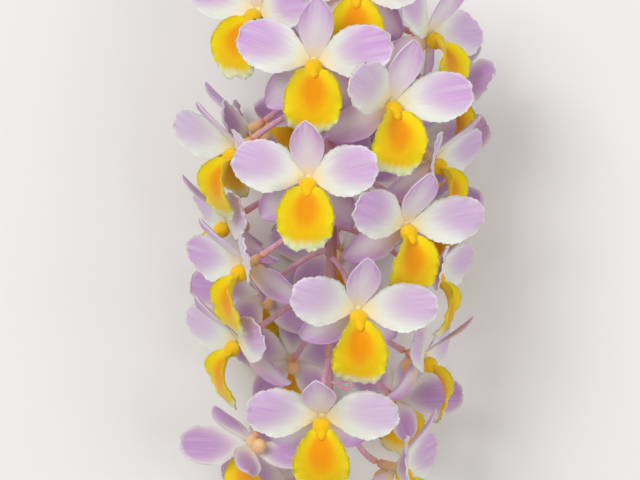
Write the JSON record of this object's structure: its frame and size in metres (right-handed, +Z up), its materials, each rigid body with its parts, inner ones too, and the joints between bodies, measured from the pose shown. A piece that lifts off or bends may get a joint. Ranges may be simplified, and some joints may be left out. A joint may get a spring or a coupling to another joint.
{
  "type": "dendrobium orchid flower spray",
  "caption": "Cut hanging spray of a dendrobium orchid, lying on its back: lilac and white flowers with golden velvety lips on a thin pink stem.",
  "frame": {"origin": "on the surface that the spray lies on, under the middle of the spray's box", "axes": "+Z up off the surface, towards the flowers that face the viewer; +Y along the stem towards its cut end; +X to the right seen from above with the cut end up"},
  "size_m": [0.1051, 0.2252, 0.0929],
  "materials": {
    "tepals": "satin petal, white with lilac veins and patches",
    "lip": "velvety golden yellow with an orange throat and a cream lower rim",
    "stem": "smooth dusty pink plant skin"
  },
  "bodies": {
    "root": {"flower_A_tepals": "tepals", "flower_A_lip": "lip", "flower_B_tepals": "tepals", "flower_B_lip": "lip", "flower_C_tepals": "tepals", "flower_C_lip": "lip", "flower_D_tepals": "tepals", "flower_D_lip": "lip", "flower_E_tepals": "tepals", "flower_E_lip": "lip", "flower_F_tepals": "tepals", "flower_F_lip": "lip", "flower_G_tepals": "tepals", "flower_G_lip": "lip", "flower_H_tepals": "tepals", "flower_H_lip": "lip", "flower_I_tepals": "tepals", "flower_I_lip": "lip", "flower_J_tepals": "tepals", "flower_J_lip": "lip", "flower_K_tepals": "tepals", "flower_K_lip": "lip", "flower_L_tepals": "tepals", "flower_L_lip": "lip", "flower_M_tepals": "tepals", "flower_M_lip": "lip", "flower_N_tepals": "tepals", "flower_N_lip": "lip", "flower_O_tepals": "tepals", "flower_O_lip": "lip", "flower_P_tepals": "tepals", "flower_P_lip": "lip", "flower_Q_tepals": "tepals", "flower_Q_lip": "lip", "flower_R_tepals": "tepals", "flower_R_lip": "lip", "flower_S_tepals": "tepals", "flower_S_lip": "lip", "flower_T_tepals": "tepals", "flower_T_lip": "lip", "flower_U_tepals": "tepals", "flower_U_lip": "lip", "flower_V_tepals": "tepals", "flower_V_lip": "lip", "flower_W_tepals": "tepals", "flower_W_lip": "lip", "flower_X_tepals": "tepals", "flower_X_lip": "lip", "flower_Y_tepals": "tepals", "flower_Y_lip": "lip", "flower_Z_tepals": "tepals", "flower_Z_lip": "lip", "flower_AA_tepals": "tepals", "flower_AA_lip": "lip", "flower_AB_tepals": "tepals", "flower_AB_lip": "lip", "flower_AC_tepals": "tepals", "flower_AC_lip": "lip", "stem": "stem"}
  },
  "joints": []
}
